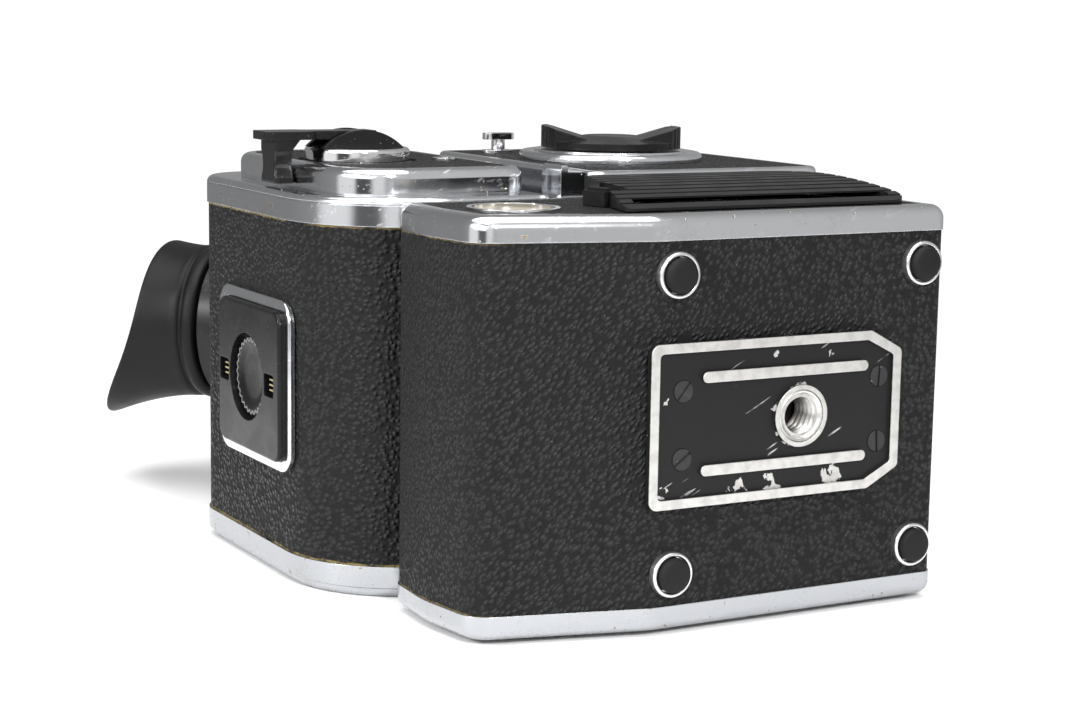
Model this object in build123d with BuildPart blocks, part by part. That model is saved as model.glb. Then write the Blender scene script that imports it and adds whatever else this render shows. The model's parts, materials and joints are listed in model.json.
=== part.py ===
from build123d import *
import math
import os

# Motor-driven modular roll-film camera: motor base, mirror body, film magazine and prism finder.
#
# Frame: +Z up, the front (lens mount) faces -Y, the operator's right-hand side is -X.
# The origin is on the axis of the tripod socket, on the face of the coupling plate.

os.makedirs("parts", exist_ok=True)

# ---------------------------------------------------------------- driving dimensions (mm)
plate_proud = 1.7            # coupling plate face below the leather of the underside
floor_z = plate_proud        # leather plane of the underside
base_half = 44.0             # half width of the motor base over its chrome rims
rim_height = 5.5             # chrome rim along each side of the base
base_front = -38.5
base_rear = 75.5
base_top = 47.0
crease_y = 35.6              # where the underside starts to rise to the rear
leather = 0.8                # thickness of the covering
wall = 2.4                   # castings

body_half = 41.0
body_rear = 33.0
body_top = 126.5
gear_cover_x = -49.3         # outer face of the cover on the right of the body
mount_z = 90.0               # lens axis
mount_radius = 28.5          # clear radius of the lens bayonet

mag_half = 37.8              # half width of the magazine's leather
mag_seam = 42.6
mag_front = 33.6
mag_rear = 86.0
mag_bottom = 50.6
mag_top = 138.5
raised_x = -50.0             # face of the raised cover on the right of the magazine
crank_y = 63.0
crank_z = 91.0
tab_z = 94.9                 # middle of the film-tab holder and axis of its reminder dial

selector_y = -2.4
selector_z = 86.0
selector_x = -52.1           # back face of the selector dial

eye_y = 62.0                 # a point of the eyepiece axis, which rises at 45 degrees
eye_z = 184.0
eye_radius = 19.4

gap = 0.3                    # running clearance between bodies

BASE_POINTS = [
    (base_front, floor_z), (crease_y, floor_z), (73.0, 11.0), (base_rear, 28.4),
    (74.3, base_top), (base_front, base_top),
]
BASE_RADII = [2.5, 14.0, 6.5, 30.0, 6.0, 2.0]
MAG_POINTS = [(mag_front, mag_bottom), (mag_rear, mag_bottom), (mag_rear, mag_top), (mag_front, mag_top)]
MAG_RADII = [2.0, 27.5, 14.0, 3.0]
RAISED_POINTS = [(35.0, 58.0), (80.3, 58.0), (80.3, 130.0), (35.0, 130.0)]
RAISED_RADII = [6.0, 15.0, 12.0, 6.0]
BATTERY_POINTS = [(-34.5, 7.6), (40.5, 7.6), (30.5, 42.5), (-26.0, 42.5)]
BATTERY_RADII = [5.0, 2.0, 2.5, 14.0]


def outline(points, radii, inset=0.0):
    """Rounded outline as a flat sketch, moved inwards by inset."""
    with BuildSketch() as shape:
        with BuildLine():
            FilletPolyline(*points, radius=radii, close=True)
        make_face()
        if inset:
            offset(amount=-inset)
    return shape.sketch


def save(builder, name):
    """Label a finished piece and write it."""
    builder.part.label = name
    export_step(builder.part, f"parts/{name}.step")
    print(f"{name:24s} {builder.part.volume:10.1f} mm3  solids {len(builder.part.solids())}")


def side_plane(x):
    """Sketch plane facing +X whose sketch axes are Y and Z."""
    return Plane.YZ.offset(x)


def rear_plane(y, z=0.0, x=0.0):
    """Sketch plane facing +Y with +Z up, centred on (x, y, z)."""
    return Plane(origin=(x, y, z), x_dir=(-1, 0, 0), z_dir=(0, 1, 0))


def front_plane(y, z=0.0, x=0.0):
    """Sketch plane facing -Y with +Z up, centred on (x, y, z)."""
    return Plane(origin=(x, y, z), x_dir=(1, 0, 0), z_dir=(0, -1, 0))


def right_plane(x, y=0.0, z=0.0):
    """Sketch plane facing -X with +Z up, centred on (x, y, z)."""
    return Plane(origin=(x, y, z), x_dir=(0, -1, 0), z_dir=(-1, 0, 0))


def left_plane(x, y=0.0, z=0.0):
    """Sketch plane facing +X with +Z up, centred on (x, y, z)."""
    return Plane(origin=(x, y, z), x_dir=(0, 1, 0), z_dir=(1, 0, 0))


# ================================================================ motor base
leather_half = base_half - rim_height
foot_pitch = 63.0
foot_radius = 4.8
foot_depth = 1.6             # chrome cup below the leather
pad_proud = 3.2              # rubber pad below the leather
screw_x = 7.2
screw_front = -20.8
screw_rear = 29.6
well_y = 58.0
well_z = 23.4
well_radius = 9.8
socket_bore = 3.97           # minor radius of a 3/8 in, 16 turns per inch thread
socket_depth = 9.0
socket_ring = 6.1            # remote and charger sockets on the left
SOCKET_SPOTS = [(52.0, 34.0), (52.0, 18.0)]
motor_radius = 15.0
motor_x = 20.0
motor_y = -17.0
button_x = 33.0              # release buttons in the front of the base
button_z = 36.0
button_radius = 4.6
cell_radius = 9.5
shaft_radius = 2.0

with BuildPart() as base_shell:
    with BuildSketch(side_plane(-leather_half)):
        add(outline(BASE_POINTS, BASE_RADII, leather))
    extrude(amount=2 * leather_half)
    with BuildSketch(side_plane(-leather_half + wall)):
        add(outline(BASE_POINTS, BASE_RADII, leather + wall))
    extrude(amount=2 * (leather_half - wall), mode=Mode.SUBTRACT)
    # battery bay opens to the right
    with BuildSketch(side_plane(-leather_half)):
        add(outline(BATTERY_POINTS, BATTERY_RADII, 5.0))
    extrude(amount=wall + 1.0, mode=Mode.SUBTRACT)
    # seat for the tripod bushing
    with Locations((0, 0, floor_z + leather)):
        Cylinder(9.0, 11.5, align=(Align.CENTER, Align.CENTER, Align.MIN))
        Cylinder(7.0, 11.5, align=(Align.CENTER, Align.CENTER, Align.MIN), mode=Mode.SUBTRACT)
    # opening in the roof for the drive to the body
    with Locations((-20.0, 2.0, base_top - leather - wall / 2)):
        Box(20.0, 20.0, 2 * wall, mode=Mode.SUBTRACT)
    # guides of the two release buttons
    with Locations(*[front_plane(base_front - 1.0, button_z, x) for x in (-button_x, button_x)]):
        Cylinder(button_radius + gap, 18.0, mode=Mode.SUBTRACT)
save(base_shell, "base_shell")

with BuildPart() as base_leather:
    with BuildSketch(side_plane(-leather_half)):
        add(outline(BASE_POINTS, BASE_RADII))
        add(outline(BASE_POINTS, BASE_RADII, leather), mode=Mode.SUBTRACT)
    extrude(amount=2 * leather_half)
    # the bushing and the two release buttons pass through
    Cylinder(7.0, 12.0, mode=Mode.SUBTRACT)
    with Locations(*[front_plane(base_front - 1.0, button_z, x) for x in (-button_x, button_x)]):
        Cylinder(button_radius + 1.0, 6.0, mode=Mode.SUBTRACT)
save(base_leather, "base_leather")


def base_rim(side, name):
    """Chrome frame along one side of the base; side is -1 for the right, 1 for the left."""
    near = leather_half if side > 0 else -base_half
    with BuildPart() as rim:
        with BuildSketch(side_plane(near)):
            add(outline(BASE_POINTS, BASE_RADII, -0.3))
        extrude(amount=rim_height)
        outer_face = rim.faces().sort_by(Axis.X)[-1 if side > 0 else 0]
        fillet(outer_face.edges(), 3.0)
        # panel recess, and an open middle behind it
        recess = side_plane(base_half - 0.9) if side > 0 else side_plane(-base_half)
        with BuildSketch(recess):
            add(outline(BASE_POINTS, BASE_RADII, 4.2))
        extrude(amount=0.9, mode=Mode.SUBTRACT)
        with BuildSketch(side_plane(near)):
            add(outline(BASE_POINTS, BASE_RADII, 5.5))
        extrude(amount=rim_height, mode=Mode.SUBTRACT)
    save(rim, name)


base_rim(-1, "base_rim_right")
base_rim(1, "base_rim_left")

with BuildPart() as base_inlays:
    with BuildSketch(side_plane(-base_half + 0.1)):
        add(outline(BASE_POINTS, BASE_RADII, 4.2))
        add(outline(BATTERY_POINTS, BATTERY_RADII, 3.5), mode=Mode.SUBTRACT)
        with Locations((well_y, well_z)):
            Circle(well_radius, mode=Mode.SUBTRACT)
    extrude(amount=0.8)
    with BuildSketch(side_plane(base_half - 0.9)):
        add(outline(BASE_POINTS, BASE_RADII, 4.2))
        with Locations(*SOCKET_SPOTS):
            Circle(socket_ring + 0.1, mode=Mode.SUBTRACT)
    extrude(amount=0.8)
save(base_inlays, "base_inlays")

with BuildPart() as well_ring:
    with BuildSketch(right_plane(-base_half - 0.5, well_y, well_z)):
        Circle(well_radius)
    extrude(amount=-4.5)
    with BuildSketch(right_plane(-base_half - 0.5, well_y, well_z)):
        Circle(well_radius - 1.1)
    extrude(amount=-2.2, mode=Mode.SUBTRACT)
save(well_ring, "well_ring")

foot_spots = GridLocations(foot_pitch, foot_pitch, 2, 2)

with BuildPart() as foot_cups:
    with BuildSketch(Plane.XY.offset(floor_z)):
        with foot_spots:
            Circle(foot_radius)
    extrude(amount=-foot_depth)
    with BuildSketch(Plane.XY.offset(floor_z - foot_depth)):
        with foot_spots:
            Circle(foot_radius - 0.8)
    extrude(amount=foot_depth - 0.5, mode=Mode.SUBTRACT)
    fillet(foot_cups.edges().filter_by(GeomType.CIRCLE).group_by(Axis.Z)[0], 0.3)
save(foot_cups, "foot_cups")

with BuildPart() as foot_pads:
    with BuildSketch(Plane.XY.offset(floor_z - 0.5)):
        with foot_spots:
            Circle(foot_radius - 0.85)
    extrude(amount=-(pad_proud - 0.5))
    fillet(foot_pads.edges().filter_by(GeomType.CIRCLE).group_by(Axis.Z)[0], 0.9)
save(foot_pads, "foot_pads")

plate_half = 17.4
plate_front = -26.2
plate_rear = 37.9
with BuildPart() as coupling_plate:
    with BuildSketch(Plane.XY.offset(floor_z)):
        with BuildLine():
            FilletPolyline(
                (-plate_half, plate_rear), (-plate_half, -18.0), (-13.0, plate_front),
                (13.0, plate_front), (plate_half, -18.0), (plate_half, plate_rear),
                radius=[2.0, 1.5, 1.5, 1.5, 1.5, 2.0], close=True,
            )
        make_face()
    extrude(amount=-plate_proud)
    # field sunk inside the raised frame
    with BuildSketch(Plane.XY):
        with BuildLine():
            FilletPolyline(
                (-15.4, 35.9), (-15.4, -17.2), (-11.9, -24.1), (11.9, -24.1), (15.4, -17.2), (15.4, 35.9),
                radius=1.0, close=True,
            )
        make_face()
    extrude(amount=0.9, mode=Mode.SUBTRACT)
    # two raised rails
    with BuildSketch(Plane.XY.offset(0.9)):
        with Locations((-9.9, 4.0), (9.9, 4.0)):
            SlotOverall(42.5, 2.3, rotation=90)
    extrude(amount=-0.9)
    # socket boss and its hole
    with BuildSketch(Plane.XY.offset(0.9)):
        Circle(6.7)
    extrude(amount=-0.9)
    Cylinder(5.7, 6.0, mode=Mode.SUBTRACT)
    with BuildSketch(Plane.XY.offset(0.9)):
        with Locations((-screw_x, screw_front), (screw_x, screw_front), (-screw_x, screw_rear), (screw_x, screw_rear)):
            Circle(2.35)
    extrude(amount=plate_proud - 0.9, mode=Mode.SUBTRACT)
save(coupling_plate, "coupling_plate")

with BuildPart() as plate_screws:
    for x, y, turn in ((-screw_x, screw_front, 5), (screw_x, screw_front, -4),
                       (-screw_x, screw_rear, 40), (screw_x, screw_rear, 55)):
        with BuildSketch(Plane.XY.offset(0.75)):
            with Locations((x, y)):
                Circle(2.3)
        extrude(amount=plate_proud - 0.75)
        with BuildSketch(Plane.XY.offset(0.75)):
            with Locations((x, y)):
                Rectangle(5.0, 0.6, rotation=turn, mode=Mode.ADD)
        extrude(amount=0.5, mode=Mode.SUBTRACT)
save(plate_screws, "plate_screws")

with BuildPart() as tripod_bushing:
    Cylinder(5.65, 2.6, align=(Align.CENTER, Align.CENTER, Align.MIN))
    with Locations((0, 0, 2.6)):
        Cylinder(6.95, socket_depth, align=(Align.CENTER, Align.CENTER, Align.MIN))
    Cylinder(socket_bore, socket_depth, align=(Align.CENTER, Align.CENTER, Align.MIN), mode=Mode.SUBTRACT)
save(tripod_bushing, "tripod_bushing")

# ---- drive inside the base
gear_module = 1.0
pinion_teeth = 12
wheel_teeth = 24
gear_spacing = gear_module * (pinion_teeth + wheel_teeth) / 2 + 0.35
gear_plane_z = 41.6
gear_thick = 3.0
wheel_x = motor_x - gear_spacing


def gear_outline(teeth, phase):
    """Toothed wheel about its own axis, with well-relieved flanks."""
    root = gear_module * teeth / 2 - 1.1
    tip = gear_module * teeth / 2 + 0.85
    with BuildSketch() as wheel:
        Circle(root)
        with PolarLocations((root + tip) / 2 - 0.2, teeth, start_angle=phase):
            Trapezoid(1.6, tip - root + 0.4, 74, rotation=-90)
    return wheel.sketch


with BuildPart() as motor:
    with BuildSketch(Plane(origin=(motor_x, motor_y, 8.0))):
        Circle(motor_radius)
    extrude(amount=30.0)
    fillet(motor.edges().filter_by(GeomType.CIRCLE), 1.2)
    with BuildSketch(Plane(origin=(motor_x, motor_y, 38.0))):
        Circle(4.5)
    extrude(amount=1.5)
    with BuildSketch(Plane(origin=(motor_x, motor_y, floor_z + leather + wall))):
        Circle(8.0)
    extrude(amount=8.0 - floor_z - leather - wall)
save(motor, "motor")

with BuildPart() as motor_pinion:
    with BuildSketch(Plane(origin=(motor_x, motor_y, gear_plane_z - gear_thick / 2))):
        add(gear_outline(pinion_teeth, 0))
    extrude(amount=gear_thick)
save(motor_pinion, "motor_pinion")

with BuildPart() as drive_gear:
    with BuildSketch(Plane(origin=(wheel_x, motor_y, gear_plane_z - gear_thick / 2))):
        add(gear_outline(wheel_teeth, 360.0 / wheel_teeth / 2))
        with PolarLocations(7.2, 5, start_angle=36):
            Circle(2.2, mode=Mode.SUBTRACT)
        Circle(shaft_radius + 0.06, mode=Mode.SUBTRACT)
    extrude(amount=gear_thick)
save(drive_gear, "drive_gear")

with BuildPart() as drive_shaft:
    with BuildSketch(Plane(origin=(wheel_x, motor_y, floor_z + leather + wall))):
        Circle(2.9)
    extrude(amount=gear_plane_z - gear_thick / 2 - floor_z - leather - wall - gap)
    with BuildSketch(Plane(origin=(wheel_x, motor_y, gear_plane_z - gear_thick / 2 - gap))):
        Circle(shaft_radius)
    extrude(amount=gear_thick + 2 * gap)
save(drive_shaft, "drive_shaft")

with BuildPart() as battery_cells:
    with BuildSketch(left_plane(-34.0, 0, 0)):
        with Locations((14.0, 27.0), (33.6, 21.8)):
            Circle(cell_radius)
    extrude(amount=30.0)
    fillet(battery_cells.edges().filter_by(GeomType.CIRCLE), 1.0)
save(battery_cells, "battery_cells")

# ---- battery cover: low dome with ribs running front to back
dome_radius = 118.0
cover_back = -base_half - 0.15
with BuildPart() as battery_cover:
    with BuildSketch(side_plane(-52.0)):
        add(outline(BATTERY_POINTS, BATTERY_RADII))
    extrude(amount=52.0 + cover_back)
    with BuildSketch(Plane.XZ.offset(-60.0)):
        with Locations((cover_back - 4.9 + dome_radius, 39.0)):
            Circle(dome_radius)
    extrude(amount=120.0, mode=Mode.INTERSECT)
    # ribs
    with BuildSketch(Plane.XZ.offset(-60.0)):
        for step in range(1, 11):
            z = 7.6 + 3.15 * step
            drop = 39.0 - z
            x = cover_back - 4.9 + dome_radius - math.sqrt(dome_radius**2 - drop**2)
            with Locations((x, z)):
                Rectangle(0.9, 0.9)
    extrude(amount=120.0, mode=Mode.SUBTRACT)
    # hollow inside
    with BuildSketch(side_plane(-46.2)):
        add(outline(BATTERY_POINTS, BATTERY_RADII, 3.0))
    extrude(amount=46.2 + cover_back, mode=Mode.SUBTRACT)
    # notch for the latch, open to the rear
    with BuildSketch(side_plane(-52.0)):
        with Locations((36.0, 24.0)):
            Rectangle(7.0, 7.6, rotation=-15)
    extrude(amount=12.0, mode=Mode.SUBTRACT)
save(battery_cover, "battery_cover")

# sliding latch with a thumb edge
with BuildPart() as battery_latch:
    with BuildSketch(side_plane(-47.2)):
        with Locations((36.3, 24.0)):
            Rectangle(5.4, 6.4, rotation=-15)
    extrude(amount=47.2 - base_half)
    with BuildSketch(side_plane(-47.9)):
        with Locations((37.2, 24.0)):
            Rectangle(1.4, 5.6, rotation=-15)
    extrude(amount=0.7)
save(battery_latch, "battery_latch")

with BuildPart() as side_sockets:
    with BuildSketch(left_plane(base_half - 4.0, 0, 0)):
        with Locations(*SOCKET_SPOTS):
            Circle(socket_ring)
    extrude(amount=3.8)
    with BuildSketch(left_plane(base_half - 3.0, 0, 0)):
        with Locations(*SOCKET_SPOTS):
            Circle(socket_ring - 1.5)
    extrude(amount=3.0, mode=Mode.SUBTRACT)
    with BuildSketch(left_plane(base_half - 3.0, 0, 0)):
        with Locations(*SOCKET_SPOTS):
            with PolarLocations(2.2, 3):
                Circle(0.6)
    extrude(amount=1.8)
save(side_sockets, "side_sockets")


def release_button(x, name):
    """Round push button with a stem in the front of the base."""
    with BuildPart() as button:
        with BuildSketch(front_plane(base_front - 2.6, button_z, x)):
            Circle(button_radius)
        extrude(amount=-6.6)
        fillet(button.edges().filter_by(GeomType.CIRCLE).group_by(Axis.Y)[0], 0.8)
        with BuildSketch(front_plane(base_front - 2.6, button_z, x)):
            Circle(2.6)
        extrude(amount=-0.6, mode=Mode.SUBTRACT)
    save(button, name)


release_button(-button_x, "release_button_right")
release_button(button_x, "release_button_left")


# ================================================================ body
body_front = -38.0
body_low = base_top + 0.4
cavity_half = 29.5
gate_low = 60.0
gate_high = 114.0
cavity_low = 58.0
cavity_high = 119.5
screen_z = 121.0
mirror_y = 24.0              # mirror hinge
mirror_z = 116.0
mirror_length = 52.0
flap_y = 30.5                # hinge line of the two rear flaps
upper_flap_z = 112.5
lower_flap_z = 61.5
flap_meet_z = 87.0
flap_thick = 0.8
gear_cover_rear = 25.6
lens_button_x = 34.5
lens_button_z = 68.0
lens_button_radius = 3.2
cover_middle = (base_top + body_top) / 2     # mid height of the front covering
BODY_POINTS = [(body_front, body_low), (body_rear, body_low), (body_rear, body_top), (body_front, body_top)]
GEAR_COVER_POINTS = [
    (body_front, body_low), (gear_cover_rear, body_low), (gear_cover_rear, body_top), (body_front, body_top),
]

with BuildPart() as body_shell:
    with BuildSketch(side_plane(-body_half)):
        add(outline(BODY_POINTS, 1.5))
    extrude(amount=2 * body_half)
    # mirror chamber
    with Locations((0, (body_front + 2.4 + body_rear - 1.4) / 2, (cavity_low + cavity_high) / 2)):
        Box(2 * cavity_half, body_rear - 1.4 - body_front - 2.4, cavity_high - cavity_low, mode=Mode.SUBTRACT)
    # lens throat, film gate, screen well
    with BuildSketch(front_plane(body_front, mount_z)):
        Circle(mount_radius)
    extrude(amount=-3.0, mode=Mode.SUBTRACT)
    with Locations((0, body_rear, (gate_low + gate_high) / 2)):
        Box(56.0, 8.0, gate_high - gate_low, mode=Mode.SUBTRACT)
    with Locations((0, -2.0, body_top)):
        Box(52.0, 52.0, 20.0, mode=Mode.SUBTRACT)
    with Locations((0, -2.0, screen_z)):
        Box(58.0, 58.0, 20.0, align=(Align.CENTER, Align.CENTER, Align.MIN), mode=Mode.SUBTRACT)
    # side spaces for the drive train
    with Locations((35.2, -2.0, 86.0), (-35.2, -2.0, 86.0)):
        Box(7.0, 60.0, 66.0, mode=Mode.SUBTRACT)
    # well of the lens release button
    with Locations(front_plane(body_front - 1.0, lens_button_z, lens_button_x)):
        Cylinder(lens_button_radius + 0.4, 14.0, mode=Mode.SUBTRACT)
save(body_shell, "body_shell")

with BuildPart() as gear_cover:
    with BuildSketch(side_plane(gear_cover_x)):
        add(outline(GEAR_COVER_POINTS, 4.0))
    extrude(amount=-gear_cover_x - body_half)
    fillet(gear_cover.faces().sort_by(Axis.X)[0].edges(), 1.2)
    with BuildSketch(side_plane(gear_cover_x)):
        add(outline(GEAR_COVER_POINTS, 4.0, 2.2))
    extrude(amount=0.8, mode=Mode.SUBTRACT)
    with BuildSketch(side_plane(gear_cover_x + 2.4)):
        add(outline(GEAR_COVER_POINTS, 4.0, 2.4))
    extrude(amount=6.0, mode=Mode.SUBTRACT)
    with BuildSketch(side_plane(gear_cover_x)):
        with Locations((selector_y, selector_z)):
            Circle(6.1)
    extrude(amount=6.0, mode=Mode.SUBTRACT)
save(gear_cover, "gear_cover")

with BuildPart() as body_leather:
    with BuildSketch(side_plane(gear_cover_x + 0.05)):
        add(outline(GEAR_COVER_POINTS, 4.0, 2.2))
        with Locations((selector_y, selector_z)):
            Circle(6.2, mode=Mode.SUBTRACT)
    extrude(amount=0.75)
    with BuildSketch(side_plane(body_half)):
        add(outline(BODY_POINTS, 3.0, 2.0))
    extrude(amount=0.7)
save(body_leather, "body_leather")

with BuildPart() as front_leather:
    with BuildSketch(front_plane(body_front, cover_middle)):
        RectangleRounded(2 * body_half - 4.0, body_top - base_top - 4.0, 3.0)
        with Locations((0, mount_z - cover_middle)):
            Circle(mount_radius + 5.5, mode=Mode.SUBTRACT)
        with Locations((lens_button_x, lens_button_z - cover_middle)):
            Circle(lens_button_radius + 1.4, mode=Mode.SUBTRACT)
    extrude(amount=0.6)
save(front_leather, "front_leather")

with BuildPart() as lens_bayonet:
    with BuildSketch(front_plane(body_front, mount_z)):
        Circle(mount_radius + 5.2)
        Circle(mount_radius, mode=Mode.SUBTRACT)
    extrude(amount=2.6)
    fillet(lens_bayonet.edges().filter_by(GeomType.CIRCLE).sort_by(Axis.Y)[0:1], 0.8)
    # four inward claws of the bayonet
    with BuildSketch(front_plane(body_front - 1.4, mount_z)):
        with PolarLocations(mount_radius - 0.4, 4, start_angle=45):
            Rectangle(2.4, 13.0)
        Circle(mount_radius - 1.5, mode=Mode.SUBTRACT)
    extrude(amount=1.2)
    # seat of the index bead
    with Locations(front_plane(body_front - 2.6, mount_z + mount_radius + 2.8)):
        Cylinder(0.9, 1.0, mode=Mode.SUBTRACT)
save(lens_bayonet, "lens_bayonet")

mirror_drop = mirror_length * math.sqrt(0.5)
mirror_plane = Plane(
    origin=(0, mirror_y - mirror_drop / 2, mirror_z - mirror_drop / 2), x_dir=(1, 0, 0), z_dir=(0, -1, 1)
)
with BuildPart() as mirror:
    with BuildSketch(mirror_plane):
        Trapezoid(54.0, mirror_length - 1.6, 88)
    extrude(amount=-1.6)
    with BuildSketch(side_plane(-27.0)):
        with Locations((mirror_y, mirror_z)):
            Circle(1.1)
    extrude(amount=54.0)
save(mirror, "mirror")

with BuildPart() as focusing_screen:
    with Locations((0, -2.0, screen_z)):
        Box(57.6, 57.6, 1.6, align=(Align.CENTER, Align.CENTER, Align.MIN))
    chamfer(focusing_screen.edges().filter_by(Axis.Z), 2.0)
save(focusing_screen, "focusing_screen")


def flap(hinge_z, free_z, name):
    """Rear door hung on a thin rod; it closes one half of the film gate."""
    middle = (hinge_z + free_z) / 2
    with BuildPart() as door:
        with Locations((0, flap_y, middle)):
            Box(55.0, flap_thick, abs(hinge_z - free_z))
        with BuildSketch(side_plane(-28.5)):
            with Locations((flap_y, hinge_z)):
                Circle(flap_thick)
        extrude(amount=57.0)
    save(door, name)


flap(upper_flap_z, flap_meet_z + 0.3, "upper_flap")
flap(lower_flap_z, flap_meet_z - 0.3, "lower_flap")

with BuildPart() as dial_flange:
    with BuildSketch(right_plane(gear_cover_x, selector_y, selector_z)):
        Circle(22.3)
    extrude(amount=2.0)
    fillet(dial_flange.edges().filter_by(GeomType.CIRCLE).sort_by(Axis.X)[0:1], 1.2)
    with BuildSketch(right_plane(gear_cover_x, selector_y, selector_z)):
        Circle(18.6)
    extrude(amount=2.4)
    with BuildSketch(right_plane(gear_cover_x, selector_y, selector_z)):
        Circle(6.0)
    extrude(amount=-3.0)
save(dial_flange, "dial_flange")

selector_radius = 16.6
wing_radius = 17.0
wing_height = 5.1
wing_turn = math.radians(27.0)               # the rear wing stands this far above level
wing_plane = Plane(
    origin=(selector_x, selector_y, selector_z),
    x_dir=(0, -math.cos(wing_turn), -math.sin(wing_turn)), z_dir=(0, math.sin(wing_turn), -math.cos(wing_turn)),
)
with BuildPart() as selector_dial:
    # two grip wings whose tops slope down to the middle
    with BuildSketch(wing_plane):
        with BuildLine():
            Polyline(
                (-wing_radius, 0), (-wing_radius, wing_height), (-wing_radius + 1.4, wing_height), (-6.0, 2.2),
                (6.0, 2.2), (wing_radius - 1.4, wing_height), (wing_radius, wing_height), (wing_radius, 0), close=True,
            )
        make_face()
    extrude(amount=9.5, both=True)
    with BuildSketch(right_plane(selector_x, selector_y, selector_z)):
        Circle(wing_radius)
    extrude(amount=wing_height + 1.0, mode=Mode.INTERSECT)
    # disc with a conical middle
    with BuildSketch(right_plane(selector_x, selector_y, selector_z)):
        Circle(selector_radius)
    extrude(amount=1.6)
    with Locations(right_plane(selector_x - 1.6, selector_y, selector_z)):
        Cone(selector_radius - 0.8, 6.5, 1.3, align=(Align.CENTER, Align.CENTER, Align.MIN))
    # serrations of the wings' outer edges
    with BuildSketch(right_plane(selector_x + 0.5, selector_y, selector_z)):
        for middle in (-27.0, 153.0):
            with PolarLocations(wing_radius + 0.15, 9, start_angle=middle - 28, angular_range=56, endpoint=True):
                Circle(0.7)
    extrude(amount=8.0, mode=Mode.SUBTRACT)
save(selector_dial, "selector_dial")

lug_y = 14.4
lug_z = 113.0
with BuildPart() as strap_lugs:
    for x, side, stem in ((gear_cover_x, right_plane, 3.4), (body_half + 0.7, left_plane, 2.0)):
        plane = side(x, lug_y, lug_z)
        with BuildSketch(plane):
            SlotOverall(8.6, 5.4)
        extrude(amount=0.8)
        with BuildSketch(plane):
            Circle(1.7)
        extrude(amount=stem)
        with BuildSketch(plane.offset(stem)):
            SlotOverall(8.4, 3.6)
        extrude(amount=1.6)
save(strap_lugs, "strap_lugs")

with BuildPart() as accessory_rail:
    with BuildSketch(Plane.XZ.offset(24.0)):
        with BuildLine():
            Polyline((41.7, 93.0), (43.0, 92.0), (44.4, 91.2), (44.4, 98.8), (43.0, 98.0), (41.7, 97.0), close=True)
        make_face()
    extrude(amount=-48.0)
save(accessory_rail, "accessory_rail")

with BuildPart() as lens_release_button:
    with BuildSketch(front_plane(body_front - 3.0, lens_button_z, lens_button_x)):
        Circle(lens_button_radius)
    extrude(amount=-6.6)
    fillet(lens_release_button.edges().filter_by(GeomType.CIRCLE).group_by(Axis.Y)[0], 0.7)
save(lens_release_button, "lens_release_button")

with BuildPart() as magazine_catch:
    with BuildSketch(Plane.XY.offset(base_top + 1.2)):
        with BuildLine():
            FilletPolyline(
                (-body_half, 26.0), (-body_half, 32.8), (-50.8, 32.8), (-50.8, 31.0), (-49.3, 31.0), (-49.3, 26.0),
                radius=[0, 0, 1.0, 0.4, 0.3, 0.8], close=True,
            )
        make_face()
    extrude(amount=8.6)
save(magazine_catch, "magazine_catch")


# ================================================================ film magazine
mag_cover_x = -44.2          # side plate under the raised cover
insert_x = 44.9              # outer face of the insert's cover
disc_radius = 12.2
disc_face = -52.9            # outer face of the crank disc
hinge_y = 61.5               # fold axis of the crank lever
hinge_x = -55.5
hub_half = 5.3               # half width of the arched hub over its two cheeks
slot_half = 3.9              # half width of the slot between the cheeks
grip_front = 80.8
window_y = 44.0
window_z = 84.0
dial_radius = 9.9
tab_depth = 3.2
key_y = 62.0
key_z = 88.0
key_radius = 8.6
take_up = (65.0, 118.5)
supply = (64.5, 72.5)
spool_flange = 12.4
spool_core = 5.8
spool_half = 30.9
spindle_radius = 2.5

with BuildPart() as magazine_shell:
    with BuildSketch(side_plane(-mag_half)):
        add(outline(MAG_POINTS, MAG_RADII, leather))
    extrude(amount=2 * mag_half)
    with BuildSketch(side_plane(-mag_half + 2.0)):
        add(outline(MAG_POINTS, MAG_RADII, leather + 1.8))
    extrude(amount=2 * mag_half, mode=Mode.SUBTRACT)
    with Locations((0, mag_front, (gate_low + gate_high) / 2)):
        Box(56.0, 10.0, gate_high - gate_low, mode=Mode.SUBTRACT)
    with Locations(rear_plane(mag_rear - 4.0, tab_z)):
        Cylinder(2.0, 20.0, mode=Mode.SUBTRACT)
    with Locations(right_plane(-mag_half, crank_y, crank_z)):
        Cylinder(3.2, 10.0, mode=Mode.SUBTRACT)
save(magazine_shell, "magazine_shell")

with BuildPart() as magazine_leather:
    with BuildSketch(side_plane(-mag_half)):
        add(outline(MAG_POINTS, MAG_RADII))
        add(outline(MAG_POINTS, MAG_RADII, leather), mode=Mode.SUBTRACT)
        with Locations((mag_front, (mag_bottom + mag_top) / 2)):
            Rectangle(2.4, 100.0, mode=Mode.SUBTRACT)
    extrude(amount=2 * mag_half)
    with Locations(rear_plane(mag_rear, tab_z)):
        Cylinder(2.0, 20.0, mode=Mode.SUBTRACT)
save(magazine_leather, "magazine_leather")

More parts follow.
